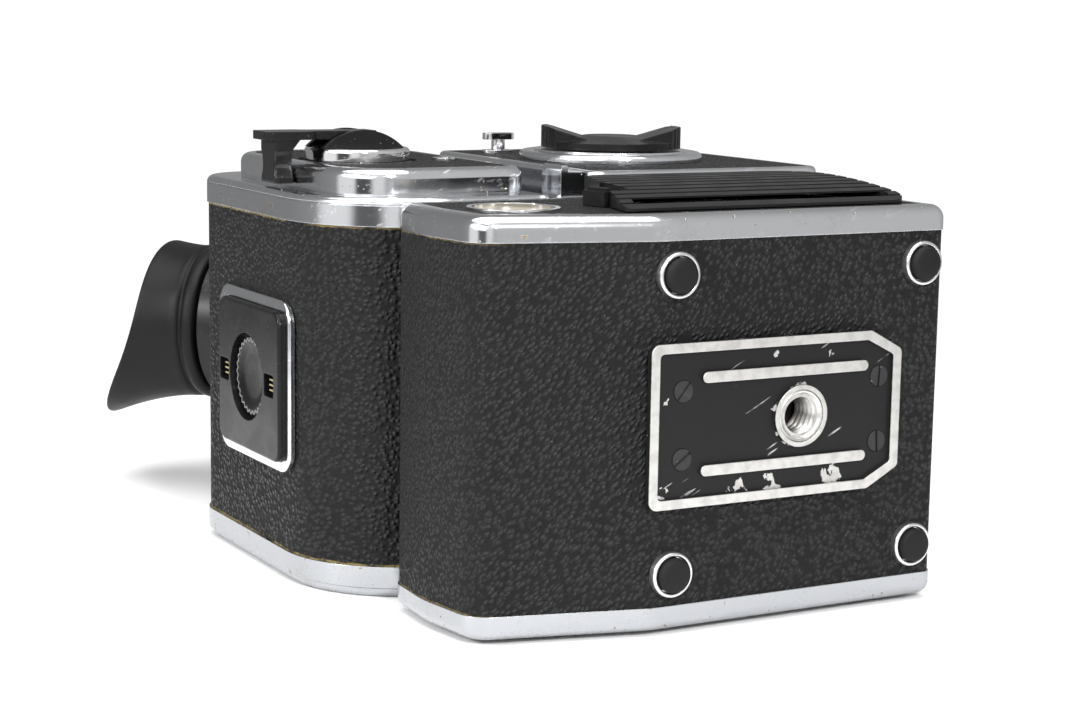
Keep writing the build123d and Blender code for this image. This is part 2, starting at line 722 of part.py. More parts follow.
with BuildPart() as magazine_rim_right:
    with BuildSketch(side_plane(mag_cover_x)):
        add(outline(MAG_POINTS, MAG_RADII, -0.4))
    extrude(amount=-mag_half - mag_cover_x)
    fillet(magazine_rim_right.faces().sort_by(Axis.X)[0].edges(), 1.7)
    with BuildSketch(side_plane(-mag_seam)):
        add(outline(MAG_POINTS, MAG_RADII, 4.0))
    extrude(amount=mag_seam, mode=Mode.SUBTRACT)
    # seam line
    with BuildSketch(side_plane(-mag_seam - 0.15)):
        add(outline(MAG_POINTS, MAG_RADII, -2.0))
        add(outline(MAG_POINTS, MAG_RADII, -0.1), mode=Mode.SUBTRACT)
    extrude(amount=0.3, mode=Mode.SUBTRACT)
    with Locations(right_plane(mag_cover_x, crank_y, crank_z)):
        Cylinder(3.2, 20.0, mode=Mode.SUBTRACT)
save(magazine_rim_right, "magazine_rim_right")

with BuildPart() as magazine_rim_left:
    with BuildSketch(side_plane(mag_half)):
        add(outline(MAG_POINTS, MAG_RADII, -0.4))
        add(outline(MAG_POINTS, MAG_RADII, 2.6), mode=Mode.SUBTRACT)
    extrude(amount=mag_seam - mag_half)
save(magazine_rim_left, "magazine_rim_left")

with BuildPart() as raised_cover:
    with BuildSketch(side_plane(raised_x)):
        add(outline(RAISED_POINTS, RAISED_RADII))
    extrude(amount=mag_cover_x - raised_x)
    fillet(raised_cover.faces().sort_by(Axis.X)[0].edges(), 2.2)
    with BuildSketch(side_plane(raised_x)):
        add(outline(RAISED_POINTS, RAISED_RADII, 3.4))
    extrude(amount=0.5, mode=Mode.SUBTRACT)
    with BuildSketch(side_plane(raised_x + 2.4)):
        add(outline(RAISED_POINTS, RAISED_RADII, 2.6))
    extrude(amount=10.0, mode=Mode.SUBTRACT)
    with Locations(right_plane(raised_x, crank_y, crank_z)):
        Cylinder(3.2, 20.0, mode=Mode.SUBTRACT)
    with Locations(right_plane(raised_x, window_y, window_z)):
        Cylinder(2.7, 20.0, mode=Mode.SUBTRACT)
save(raised_cover, "raised_cover")

with BuildPart() as raised_inlay:
    with BuildSketch(side_plane(raised_x + 0.05)):
        add(outline(RAISED_POINTS, RAISED_RADII, 3.45))
        with Locations((crank_y, crank_z)):
            Circle(disc_radius + 1.6, mode=Mode.SUBTRACT)
        with Locations((window_y, window_z)):
            Circle(2.75, mode=Mode.SUBTRACT)
    extrude(amount=0.45)
save(raised_inlay, "raised_inlay")

with BuildPart() as counter_window:
    with BuildSketch(right_plane(raised_x - 0.5, window_y, window_z)):
        Circle(2.65)
    extrude(amount=-2.6)
    with BuildSketch(right_plane(raised_x - 0.5, window_y, window_z)):
        Circle(1.7)
    extrude(amount=-0.5, mode=Mode.SUBTRACT)
save(counter_window, "counter_window")

with BuildPart() as crank_disc:
    with BuildSketch(right_plane(disc_face, crank_y, crank_z)):
        Circle(disc_radius)
    extrude(amount=-3.1)
    fillet(crank_disc.edges().filter_by(GeomType.CIRCLE).sort_by(Axis.X)[0:1], 0.9)
    with BuildSketch(right_plane(raised_x - gap, crank_y, crank_z)):
        Circle(2.6)
    extrude(amount=-10.0)
save(crank_disc, "crank_disc")

with BuildPart() as crank_hub:
    # arched bar across the disc, slotted along its middle for the lever
    with BuildSketch(Plane.XY.offset(crank_z - hub_half)):
        with BuildLine():
            ThreePointArc((disc_face, 53.6), (disc_face - 4.1, 62.6), (disc_face, 73.8))
            Line((disc_face, 73.8), (disc_face, 53.6))
        make_face()
    extrude(amount=2 * hub_half)
    with Locations((disc_face, 64.0, crank_z)):
        Box(12.0, 24.0, 2 * slot_half, mode=Mode.SUBTRACT)
    # hinge pin of the lever
    with BuildSketch(Plane.XY.offset(crank_z - hub_half)):
        with Locations((hinge_x, hinge_y)):
            Circle(0.6)
    extrude(amount=2 * hub_half)
save(crank_hub, "crank_hub")

with BuildPart() as crank_lever:
    with BuildSketch(right_plane(hinge_x + 0.6, hinge_y, crank_z)):
        with BuildLine():
            FilletPolyline(
                (1.9, 3.5), (-12.8, 3.5), (-15.4, 4.9), (-25.9, 4.5), (-25.9, -4.5), (-15.4, -4.9),
                (-12.8, -3.5), (1.9, -3.5), radius=[0.3, 2, 2, 1.5, 1.5, 2, 2, 0.3], close=True,
            )
        make_face()
    extrude(amount=1.9)
    with BuildSketch(Plane.XY.offset(crank_z - 3.5)):
        with Locations((hinge_x, hinge_y)):
            Circle(1.2)
    extrude(amount=7.0)
    with BuildSketch(Plane.XY.offset(crank_z - 6.0)):
        with Locations((hinge_x, hinge_y)):
            Circle(0.65)
    extrude(amount=12.0, mode=Mode.SUBTRACT)
save(crank_lever, "crank_lever")

with BuildPart() as crank_grip:
    # finger grip with hollow flanks, hooked over the rear end of the raised cover
    with BuildSketch(rear_plane(grip_front, crank_z)):
        with BuildLine():
            Line((52.4, 4.6), (54.9, 4.6))
            Line((54.9, 4.6), (54.9, -4.6))
            Line((54.9, -4.6), (52.4, -4.6))
            ThreePointArc((52.4, -4.6), (49.2, -3.5), (46.4, -4.4))
            Line((46.4, -4.4), (45.1, -4.4))
            Line((45.1, -4.4), (45.1, 4.4))
            Line((45.1, 4.4), (46.4, 4.4))
            ThreePointArc((46.4, 4.4), (49.2, 3.5), (52.4, 4.6))
        make_face()
    extrude(amount=4.3)
    fillet(crank_grip.edges().group_by(Axis.Y)[-1], 0.5)
    # thicker where it joins the lever
    with BuildSketch(Plane.XY.offset(crank_z - 4.2)):
        with BuildLine():
            Polyline((-54.9, grip_front), (-54.9, grip_front - 1.9), (-52.6, grip_front), close=True)
        make_face()
    extrude(amount=8.4)
save(crank_grip, "crank_grip")

with BuildPart() as tab_frame:
    with BuildSketch(rear_plane(mag_rear, tab_z)):
        RectangleRounded(39.5, 43.0, 5.5)
        with Locations((0, -1.0)):
            RectangleRounded(34.5, 37.5, 3.5, mode=Mode.SUBTRACT)
    extrude(amount=1.5)
    fillet(tab_frame.faces().sort_by(Axis.Y)[-1].outer_wire().edges(), 0.6)
save(tab_frame, "tab_frame")

with BuildPart() as tab_block:
    with BuildSketch(rear_plane(mag_rear, tab_z - 1.0)):
        RectangleRounded(34.3, 37.3, 3.4)
    extrude(amount=tab_depth)
    fillet(tab_block.faces().sort_by(Axis.Y)[-1].edges(), 0.7)
    with BuildSketch(rear_plane(mag_rear + tab_depth, tab_z)):
        Circle(dial_radius + gap)
        with Locations((0, 13.8), (0, -13.8)):
            RectangleRounded(5.2, 5.6, 0.6)
    extrude(amount=-tab_depth + 0.9, mode=Mode.SUBTRACT)
save(tab_block, "tab_block")

with BuildPart() as reminder_dial:
    with BuildSketch(rear_plane(mag_rear + 1.1, tab_z)):
        Circle(dial_radius)
        with PolarLocations(dial_radius + 0.15, 28):
            Circle(0.45, mode=Mode.SUBTRACT)
    extrude(amount=1.3)
    with BuildSketch(rear_plane(mag_rear + 2.4, tab_z)):
        Circle(dial_radius - 1.6)
    extrude(amount=-0.7, mode=Mode.SUBTRACT)
    with BuildSketch(rear_plane(mag_rear + 1.7, tab_z)):
        Rectangle(2 * dial_radius - 4.0, 2.0)
    extrude(amount=0.9)
save(reminder_dial, "reminder_dial")

with BuildPart() as magazine_latch:
    with BuildSketch(Plane.XY.offset(mag_top + gap)):
        with Locations((-14.0, 40.0)):
            RectangleRounded(15.0, 6.0, 1.2)
    extrude(amount=1.9)
    with BuildSketch(Plane.XY.offset(mag_top + gap + 1.9)):
        with Locations((-14.0, 40.0)):
            with GridLocations(2.0, 0, 6, 1):
                Rectangle(0.8, 4.6)
    extrude(amount=-0.5, mode=Mode.SUBTRACT)
save(magazine_latch, "magazine_latch")

# ---- film insert, drawn out to the left
with BuildPart() as insert_cover:
    with BuildSketch(side_plane(mag_seam + gap)):
        add(outline(MAG_POINTS, MAG_RADII, 0.6))
    extrude(amount=insert_x - mag_seam - gap)
    fillet(insert_cover.faces().sort_by(Axis.X)[-1].edges(), 1.4)
    with BuildSketch(side_plane(insert_x - 0.5)):
        add(outline(MAG_POINTS, MAG_RADII, 5.0))
    extrude(amount=0.5, mode=Mode.SUBTRACT)
    with BuildSketch(left_plane(mag_seam + gap, key_y, key_z)):
        Circle(key_radius + gap)
    extrude(amount=5.0, mode=Mode.SUBTRACT)
save(insert_cover, "insert_cover")

with BuildPart() as insert_frame:
    with BuildSketch(side_plane(mag_seam - 2.0)):
        add(outline(MAG_POINTS, MAG_RADII, 3.4))
    extrude(amount=2.0 + gap)
    with BuildSketch(side_plane(-34.8)):
        add(outline(MAG_POINTS, MAG_RADII, 3.4))
        with Locations((58.0, 95.0)):
            RectangleRounded(12.0, 18.0, 3.0, mode=Mode.SUBTRACT)
    extrude(amount=1.6)
    # pressure plate in front, and two guide rollers' beds
    with BuildSketch(side_plane(-34.0)):
        with Locations((41.0, 88.0)):
            Rectangle(1.6, 58.0)
        with Locations((42.0, 57.6), (42.0, 118.4)):
            Circle(2.2)
    extrude(amount=75.0)
    # spindles of the two spools
    with BuildSketch(side_plane(-34.0)):
        with Locations(take_up, supply):
            Circle(spindle_radius)
    extrude(amount=7.0)
    with BuildSketch(side_plane(41.0)):
        with Locations(take_up, supply):
            Circle(spindle_radius)
    extrude(amount=-14.0)
save(insert_frame, "insert_frame")


def spool(spot, name):
    """Film spool with two flanges, turning on the spindles of the insert."""
    with BuildPart() as reel:
        with BuildSketch(side_plane(-spool_half)):
            with Locations(spot):
                Circle(spool_flange)
        extrude(amount=0.9)
        with BuildSketch(side_plane(spool_half - 0.9)):
            with Locations(spot):
                Circle(spool_flange)
        extrude(amount=0.9)
        with BuildSketch(side_plane(-spool_half)):
            with Locations(spot):
                Circle(spool_core)
        extrude(amount=2 * spool_half)
        with BuildSketch(side_plane(-spool_half - 1.0)):
            with Locations(spot):
                Circle(spindle_radius + 0.06)
        extrude(amount=2 * spool_half + 2.0, mode=Mode.SUBTRACT)
    save(reel, name)


spool(take_up, "take_up_spool")
spool(supply, "supply_spool")

with BuildPart() as film_key:
    with BuildSketch(left_plane(mag_seam + 2 * gap, key_y, key_z)):
        Circle(key_radius)
    extrude(amount=0.9)
    with BuildSketch(left_plane(mag_seam + 2 * gap, key_y, key_z)):
        Rectangle(2 * key_radius - 3.0, 3.0)
    extrude(amount=1.7)
save(film_key, "film_key")


# ================================================================ prism finder
finder_z = body_top + gap
finder_half = 30.0
eye_plane = Plane(origin=(0, eye_y, eye_z), x_dir=(1, 0, 0), z_dir=(0, 1, 1))
eye_up = Plane(origin=(0, eye_y, eye_z), x_dir=(1, 0, 0), z_dir=(0, -1, 1))
FINDER_POINTS = [
    (-34.0, finder_z), (31.0, finder_z), (31.0, 144.0), (47.0, 147.0), (65.5, 157.5),
    (36.0, 187.0), (14.0, 192.0), (-20.0, 172.0), (-34.0, 146.0),
]
FINDER_RADII = [1.5, 1.5, 2.0, 12.0, 3.0, 4.0, 14.0, 12.0, 6.0]

with BuildPart() as finder_housing:
    with BuildSketch(side_plane(-finder_half)):
        add(outline(FINDER_POINTS, FINDER_RADII))
    extrude(amount=2 * finder_half)
    fillet(finder_housing.faces().sort_by(Axis.X)[0].edges(), 5.0)
    fillet(finder_housing.faces().sort_by(Axis.X)[-1].edges(), 5.0)
    with BuildSketch(side_plane(-finder_half + 2.5)):
        add(outline(FINDER_POINTS, FINDER_RADII, 2.2))
    extrude(amount=2 * finder_half - 5.0, mode=Mode.SUBTRACT)
    with Locations((0, -2.0, finder_z)):
        Box(50.0, 50.0, 12.0, mode=Mode.SUBTRACT)
    with BuildSketch(eye_plane.offset(-20.0)):
        Circle(14.0)
    extrude(amount=12.0, mode=Mode.SUBTRACT)
save(finder_housing, "finder_housing")

with BuildPart() as finder_prism:
    with BuildSketch(side_plane(-25.0)):
        with BuildLine():
            FilletPolyline(
                (-26.0, 131.5), (24.0, 131.5), (27.5, 148.5), (45.5, 152.0), (56.0, 160.5),
                (35.5, 181.0), (15.0, 186.5), (-16.0, 168.5), (-26.0, 152.0),
                radius=1.0, close=True,
            )
        make_face()
    extrude(amount=50.0)
save(finder_prism, "finder_prism")

with BuildPart() as eyepiece_tube:
    with BuildSketch(eye_plane.offset(-12.6)):
        Circle(eye_radius)
    extrude(amount=10.4)
    with BuildSketch(eye_plane.offset(-2.2)):
        Circle(17.4)
    extrude(amount=5.2)
    with BuildSketch(eye_plane.offset(-9.0)):
        Circle(13.5)
    extrude(amount=14.0, mode=Mode.SUBTRACT)
    # eye lens
    with BuildSketch(eye_plane.offset(-6.0)):
        Circle(13.8)
    extrude(amount=3.4)
save(eyepiece_tube, "eyepiece_tube")

with BuildPart() as eyecup:
    # collar and flare turned about the eyepiece axis
    with BuildSketch(eye_up):
        with BuildLine():
            Line((17.5, -1.8), (20.3, -1.8))
            Line((20.3, -1.8), (20.6, 4.6))
            ThreePointArc((20.6, 4.6), (22.6, 18.0), (28.2, 33.0))
            Line((28.2, 33.0), (26.4, 33.6))
            ThreePointArc((26.4, 33.6), (20.6, 18.0), (18.4, 4.6))
            Line((18.4, 4.6), (17.5, 4.6))
            Line((17.5, 4.6), (17.5, -1.8))
        make_face()
    revolve(axis=Axis((0, eye_y, eye_z), (0, 1, 1)))
    # the rim is low on the right and sweeps up to the left
    with BuildSketch(eye_up):
        with BuildLine():
            ThreePointArc((-40.0, 7.2), (2.0, 12.6), (26.6, 33.4))
            Line((26.6, 33.4), (34.0, 46.0))
            Line((34.0, 46.0), (-40.0, 46.0))
            Line((-40.0, 46.0), (-40.0, 7.2))
        make_face()
    extrude(amount=50.0, both=True, mode=Mode.SUBTRACT)
save(eyecup, "eyecup")
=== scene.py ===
import json
import math

import bmesh
import bpy
from mathutils import Matrix, Vector


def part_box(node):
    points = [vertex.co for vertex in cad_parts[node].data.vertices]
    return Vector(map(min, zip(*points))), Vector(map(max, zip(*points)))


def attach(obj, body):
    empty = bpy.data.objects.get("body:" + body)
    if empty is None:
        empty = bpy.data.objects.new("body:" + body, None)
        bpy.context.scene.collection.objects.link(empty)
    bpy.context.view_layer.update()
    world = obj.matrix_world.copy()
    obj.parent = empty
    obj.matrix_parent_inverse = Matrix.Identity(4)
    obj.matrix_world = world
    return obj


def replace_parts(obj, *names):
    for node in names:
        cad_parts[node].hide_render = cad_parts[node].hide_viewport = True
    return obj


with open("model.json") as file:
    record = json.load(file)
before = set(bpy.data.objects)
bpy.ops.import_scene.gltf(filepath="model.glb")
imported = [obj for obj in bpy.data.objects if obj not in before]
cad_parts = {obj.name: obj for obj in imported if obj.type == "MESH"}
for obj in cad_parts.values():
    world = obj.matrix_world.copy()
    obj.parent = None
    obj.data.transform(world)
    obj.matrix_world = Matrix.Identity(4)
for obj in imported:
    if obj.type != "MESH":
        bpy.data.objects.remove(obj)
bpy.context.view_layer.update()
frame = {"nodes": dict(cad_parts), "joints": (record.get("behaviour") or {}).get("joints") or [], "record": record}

MM = 0.001
joints = {joint["name"]: joint for joint in frame["joints"]}
mounts = {mount["name"]: mount for mount in frame["record"]["mounts"]}

# The camera body stands upright in the frame. It is shown lying on its left side, so the picture's
# "up" is the frame's -X, and the table is a wall just outside the film insert's cover.
UP = Vector((-1, 0, 0))
table_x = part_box("insert_cover")[1].x + 0.1 * MM


# ---------------------------------------------------------------- shader helpers
class Shader:
    """A material's node tree, with short ways to build procedural patterns in the frame's metres."""

    def __init__(self, name):
        self.material = bpy.data.materials.new(name)
        self.material.use_nodes = True
        self.tree = self.material.node_tree
        self.surface = self.tree.nodes["Principled BSDF"]
        self.place = self.add("TexCoord").outputs["Object"]

    def add(self, kind, **settings):
        made = self.tree.nodes.new("ShaderNode" + kind)
        for key, value in settings.items():
            setattr(made, key, value)
        return made

    def join(self, value, socket):
        if isinstance(value, bpy.types.NodeSocket):
            self.tree.links.new(value, socket)
        else:
            socket.default_value = value

    def maths(self, operation, first, second=0.0, third=0.0):
        made = self.add("Math", operation=operation)
        for socket, value in zip(made.inputs, (first, second, third)):
            self.join(value, socket)
        return made.outputs[0]

    def stretched(self, scale=(1, 1, 1), turn=(0, 0, 0)):
        """Frame coordinates, turned and then stretched."""
        turned = self.add("VectorRotate", rotation_type="EULER_XYZ")
        self.join(self.place, turned.inputs["Vector"])
        turned.inputs["Rotation"].default_value = [math.radians(angle) for angle in turn]
        made = self.add("VectorMath", operation="MULTIPLY")
        self.join(turned.outputs[0], made.inputs[0])
        made.inputs[1].default_value = scale
        return made.outputs[0]

    def noise(self, size_mm, detail=3.0, rough=0.5, where=None, warp=0.0):
        made = self.add("TexNoise")
        self.join(where or self.place, made.inputs["Vector"])
        made.inputs["Scale"].default_value = 1 / (size_mm * MM)
        made.inputs["Detail"].default_value = detail
        made.inputs["Roughness"].default_value = rough
        made.inputs["Distortion"].default_value = warp
        return made.outputs[0]

    def cells(self, size_mm, where):
        """Distance from the middle of the nearest cell, in cells."""
        made = self.add("TexVoronoi", feature="F1")
        self.join(where, made.inputs["Vector"])
        made.inputs["Scale"].default_value = 1 / (size_mm * MM)
        return made.outputs["Distance"]

    def fade(self, value, low, high, start=0.0, end=1.0):
        """Smooth step of a value from low to high."""
        made = self.add("MapRange", interpolation_type="SMOOTHSTEP")
        self.join(value, made.inputs["Value"])
        for socket, number in zip(list(made.inputs)[1:5], (low, high, start, end)):
            socket.default_value = number
        return made.outputs["Result"]

    def axis(self, letter):
        made = self.add("SeparateXYZ")
        self.join(self.place, made.inputs[0])
        return made.outputs[letter]

    def near(self, spot_mm, inner_mm, outer_mm):
        """1 close to a spot, 0 beyond the outer distance."""
        made = self.add("VectorMath", operation="DISTANCE")
        self.join(self.place, made.inputs[0])
        made.inputs[1].default_value = Vector(spot_mm) * MM
        return self.fade(made.outputs["Value"], inner_mm * MM, outer_mm * MM, 1.0, 0.0)

    def most(self, *values):
        made = values[0]
        for value in values[1:]:
            made = self.maths("MAXIMUM", made, value)
        return made

    def times(self, *values):
        made = values[0]
        for value in values[1:]:
            made = self.maths("MULTIPLY", made, value)
        return made

    def blend(self, share, first, second):
        made = self.add("Mix", data_type="RGBA")
        self.join(share, made.inputs["Factor"])
        self.join(colour(first), made.inputs["A"])
        self.join(colour(second), made.inputs["B"])
        return made.outputs["Result"]

    def bump(self, height, depth_mm, strength=1.0, normal=None):
        made = self.add("Bump")
        self.join(height, made.inputs["Height"])
        made.inputs["Distance"].default_value = depth_mm * MM
        made.inputs["Strength"].default_value = strength
        if normal is not None:
            self.join(normal, made.inputs["Normal"])
        return made.outputs["Normal"]

    def soft_edges(self, radius_mm):
        made = self.add("Bevel", samples=4)
        made.inputs["Radius"].default_value = radius_mm * MM
        return made.outputs["Normal"]

    def finish(self, base, roughness, metallic=0.0, normal=None, **constants):
        self.join(colour(base), self.surface.inputs["Base Color"])
        self.join(roughness, self.surface.inputs["Roughness"])
        self.join(metallic, self.surface.inputs["Metallic"])
        if normal is not None:
            self.join(normal, self.surface.inputs["Normal"])
        for name, value in constants.items():
            self.surface.inputs[name.replace("_", " ")].default_value = value
        return self.material


def colour(value):
    """A grey level or an RGB triple as a colour; a socket stays as it is."""
    if isinstance(value, bpy.types.NodeSocket):
        return value
    if isinstance(value, (int, float)):
        return (value, value, value, 1.0)
    return (*value, 1.0)


# ---------------------------------------------------------------- materials
GLUE = (0.16, 0.12, 0.045)
BARE = (0.66, 0.65, 0.63)


def leather(name, size_mm, scale=(1, 1, 1), turn=(0, 0, 0), depth_mm=0.3, edge_mm=None, glue_from_mm=0.0):
    """Black pebbled leather; aged glue shows where abs(X) passes edge_mm and Y passes glue_from_mm."""
    shader = Shader(name)
    waver = shader.add("VectorMath", operation="MULTIPLY_ADD")
    wander = shader.add("TexNoise")
    shader.join(shader.place, wander.inputs["Vector"])
    wander.inputs["Scale"].default_value = 1 / (1.8 * size_mm * MM)
    shader.join(wander.outputs["Color"], waver.inputs[0])
    waver.inputs[1].default_value = (0.5 * size_mm * MM,) * 3
    shader.join(shader.stretched(scale, turn), waver.inputs[2])
    raised = shader.fade(shader.cells(size_mm, waver.outputs[0]), 0.08, 0.72, 1.0, 0.0)
    patchy = shader.noise(14.0, 2.0)
    height = shader.maths("MULTIPLY_ADD", shader.noise(0.5 * size_mm, 2.0), 0.3, raised)
    rub = shader.times(shader.fade(patchy, 0.45, 0.75), shader.fade(raised, 0.5, 0.9))
    base = shader.blend(rub, (0.0040, 0.0042, 0.0043), (0.0085, 0.0088, 0.0088))
    # The hollows between the pebbles are painted darker: painted shade.
    base = shader.blend(shader.fade(raised, 0.0, 0.4), (0.001, 0.001, 0.001), base)
    dust = shader.fade(shader.noise(0.9, 1.0), 0.77, 0.80)
    base = shader.blend(shader.times(dust, 0.35), base, (0.12, 0.11, 0.10))
    roughness = shader.maths("MULTIPLY_ADD", raised, -0.44, 0.74)
    roughness = shader.maths("MULTIPLY_ADD", shader.fade(patchy, 0.3, 0.8), 0.08, roughness)
    if edge_mm is not None:
        across = shader.maths("ABSOLUTE", shader.axis("X"))
        ragged = shader.maths("MULTIPLY_ADD", shader.noise(2.2, 2.0), 0.8 * MM, across)
        seam = shader.fade(ragged, (edge_mm + 0.30) * MM, (edge_mm + 0.45) * MM)
        rear = shader.fade(shader.axis("Y"), glue_from_mm * MM, (glue_from_mm + 20.0) * MM)
        base = shader.blend(shader.times(seam, rear, shader.fade(shader.noise(9.0), 0.34, 0.54)), base, GLUE)
    return shader.finish(base, roughness, normal=shader.bump(height, depth_mm), Specular_IOR_Level=0.30)


def chrome(name, roughness=0.13, tone=(0.66, 0.67, 0.69), edge_mm=0.25, grime=0.4):
    """Satin chrome over a casting: faint orange peel, wiping scratches, nicks and patches of grime."""
    shader = Shader(name)
    scratch = shader.noise(1.1, 2.0, where=shader.stretched((1.0, 0.06, 1.0), (24, 0, 12)))
    lines = shader.times(shader.fade(scratch, 0.60, 0.66), shader.fade(shader.noise(11.0), 0.42, 0.62))
    nick = shader.fade(shader.noise(1.3, 1.0), 0.735, 0.76)
    dirt = shader.times(shader.fade(shader.noise(9.0, 5.0, 0.7), 0.54, 0.82), grime)
    base = shader.blend(dirt, tone, (0.40, 0.37, 0.31))
    base = shader.blend(nick, base, (0.30, 0.25, 0.19))
    rough = shader.maths("MULTIPLY_ADD", dirt, 0.30, roughness)
    rough = shader.maths("MULTIPLY_ADD", lines, 0.14, rough)
    rough = shader.maths("MULTIPLY_ADD", nick, 0.30, rough)
    wave = shader.bump(shader.noise(7.0, 1.0), 0.05, normal=shader.soft_edges(edge_mm))
    marks = shader.maths("ADD", shader.maths("MULTIPLY", nick, -1.0), shader.times(lines, -0.25))
    return shader.finish(base, rough, 1.0, shader.bump(marks, 0.05, 0.5, wave))


def enamel(name, tone=0.008, roughness=0.32, wear=0.35, edge_mm=0.25):
    """Black enamel or lacquer with fine dust, rubbing and a few bare nicks."""
    shader = Shader(name)
    speck = shader.fade(shader.noise(0.8, 1.0), 0.73, 0.76)
    rubbed = shader.times(shader.fade(shader.noise(5.0, 4.0, 0.6), 0.52, 0.80), wear)
    base = shader.blend(rubbed, tone, 3.2 * tone)
    base = shader.blend(shader.times(speck, wear), base, (0.24, 0.23, 0.21))
    rough = shader.maths("MULTIPLY_ADD", rubbed, 0.35, roughness)
    fine = shader.bump(shader.noise(0.5, 2.0), 0.02, normal=shader.soft_edges(edge_mm))
    return shader.finish(base, rough, 0.0, fine, Specular_IOR_Level=0.3)


def plastic(name, tone=0.007, roughness=0.40, grain_mm=0.35, streak=(1, 1, 1)):
    """Moulded black plastic with a fine grain, handling shine and dust."""
    shader = Shader(name)
    shine = shader.fade(shader.noise(8.0, 3.0), 0.40, 0.70)
    settled = shader.noise(2.5, 5.0, 0.7, where=shader.stretched(streak))
    dust = shader.times(shader.fade(settled, 0.52, 0.78), 0.14)
    base = shader.blend(dust, tone, (0.085, 0.082, 0.078))
    rough = shader.maths("MULTIPLY_ADD", shine, -0.12, roughness)
    rough = shader.maths("MULTIPLY_ADD", dust, 0.6, rough)
    fine = shader.bump(shader.noise(grain_mm, 2.0), 0.025, normal=shader.soft_edges(0.2))
    return shader.finish(base, rough, 0.0, fine, Specular_IOR_Level=0.2)


def rubber(name, tone=0.004, roughness=0.44):
    """Matt rubber, a little shiny where it was handled, with a pale bloom and fine pores."""
    shader = Shader(name)
    bloom = shader.fade(shader.noise(10.0, 4.0, 0.6), 0.45, 0.80)
    base = shader.blend(shader.times(bloom, 0.4), tone, 2.6 * tone)
    rough = shader.maths("MULTIPLY_ADD", bloom, 0.14, roughness)
    pores = shader.bump(shader.noise(0.4, 3.0), 0.03)
    return shader.finish(base, rough, 0.0, pores, Specular_IOR_Level=0.20)


def turned_metal(name, tone, roughness=0.3):
    """Machined metal with tool marks."""
    shader = Shader(name)
    marks = shader.noise(0.25, 2.0, where=shader.stretched((1.0, 1.0, 6.0)))
    stain = shader.fade(shader.noise(4.0, 3.0), 0.45, 0.75)
    dark = [0.55 * channel for channel in tone]
    base = shader.blend(stain, tone, dark)
    rough = shader.maths("MULTIPLY_ADD", stain, 0.18, roughness)
    return shader.finish(base, rough, 1.0, shader.bump(marks, 0.02, normal=shader.soft_edges(0.15)))


def glass(name, tone=(0.93, 0.96, 0.95), roughness=0.02):
    """Optical glass with faint smears."""
    shader = Shader(name)
    smear = shader.fade(shader.noise(9.0, 4.0, 0.6), 0.45, 0.8)
    rough = shader.maths("MULTIPLY_ADD", smear, 0.05, roughness)
    wave = shader.bump(shader.noise(20.0, 1.0), 0.01)
    base = shader.blend(shader.times(smear, 0.15), tone, (0.8, 0.8, 0.76))
    return shader.finish(base, rough, 0.0, wave, Transmission_Weight=1.0, IOR=1.5)


# chipped spots of the plate's paint as (x, y, radius worn through, radius where chips end), in mm
CHIPPED = [(13.6, 6.6, 1.6, 5.0), (13.8, -8.9, 1.4, 4.6), (13.9, 15.3, 0.4, 2.6), (13.8, 34.6, 0.8, 2.8),
           (-13.8, 6.4, 0.3, 1.7), (-13.0, -7.6, 0.3, 1.9), (-5.5, 33.8, 0.2, 1.8)]


def plate_paint():
    """Coupling plate: raised faces rubbed bare, black field chipped beside the rails and the socket."""
    shader = Shader("plate_paint")
    field_z = 0.9
    depth = shader.axis("Z")
    across = shader.axis("X")
    ragged = shader.maths("MULTIPLY_ADD", shader.noise(1.6, 4.0, 0.65), 0.5 * MM, depth)
    raised = shader.fade(ragged, 0.52 * MM, 0.40 * MM)
    chips = shader.noise(2.6, 5.0, 0.62, warp=0.6)
    along = shader.axis("Y")
    long_edge = shader.times(shader.fade(across, 10.8 * MM, 13.8 * MM),
                             shader.fade(along, 30.0 * MM, 12.0 * MM),
                             shader.fade(along, -16.0 * MM, -10.0 * MM))
    spots = shader.most(*[shader.near((x, y, field_z), inner, outer) for x, y, inner, outer in CHIPPED])
    ring = shader.near((0, 0, field_z), 6.4, 8.2)
    share = shader.most(shader.times(long_edge, 0.55), spots, shader.times(ring, 0.8))
    reach = shader.maths("SUBTRACT", 0.79, shader.times(share, 0.33))
    chipped = shader.fade(shader.maths("SUBTRACT", chips, reach), 0.0, 0.012)
    hair = shader.noise(1.0, 2.0, where=shader.stretched((1.0, 0.05, 1.0), (0, 0, 28)))
    scratch = shader.times(shader.fade(hair, 0.685, 0.70), shader.fade(shader.noise(8.0), 0.50, 0.58))
    bare = shader.most(raised, chipped, shader.times(scratch, 0.7))
    grain = shader.noise(0.5, 2.0, where=shader.stretched((1.0, 0.2, 1.0), (0, 0, 15)))
    metal = shader.blend(shader.fade(shader.noise(2.5, 4.0), 0.4, 0.7), BARE, (0.54, 0.53, 0.51))
    base = shader.blend(bare, (0.006, 0.006, 0.0065), metal)
    rough = shader.maths("MULTIPLY_ADD", bare, -0.02, 0.42)
    rough = shader.maths("MULTIPLY_ADD", grain, 0.12, rough)
    lift = shader.maths("MULTIPLY_ADD", bare, -1.0, shader.times(grain, 0.15))
    normal = shader.bump(lift, 0.06, 0.6, shader.soft_edges(0.3))
    return shader.finish(base, rough, bare, normal, Specular_IOR_Level=0.25)


def ring_metal():
    """Light-alloy socket bush with old grease stains, painted darker deeper into the bore as painted shade."""
    shader = Shader("ring_metal")
    # painted shade: the metal is painted darker the deeper it lies in the bore
    depth = shader.fade(shader.axis("Z"), 0.5 * MM, 7.0 * MM)
    stain = shader.fade(shader.noise(1.5, 3.0), 0.4, 0.7)
    base = shader.blend(shader.times(stain, 0.5), BARE, (0.42, 0.41, 0.39))
    base = shader.blend(depth, base, (0.20, 0.19, 0.18))
    return shader.finish(base, 0.34, 1.0, shader.bump(shader.noise(0.4, 2.0), 0.02))


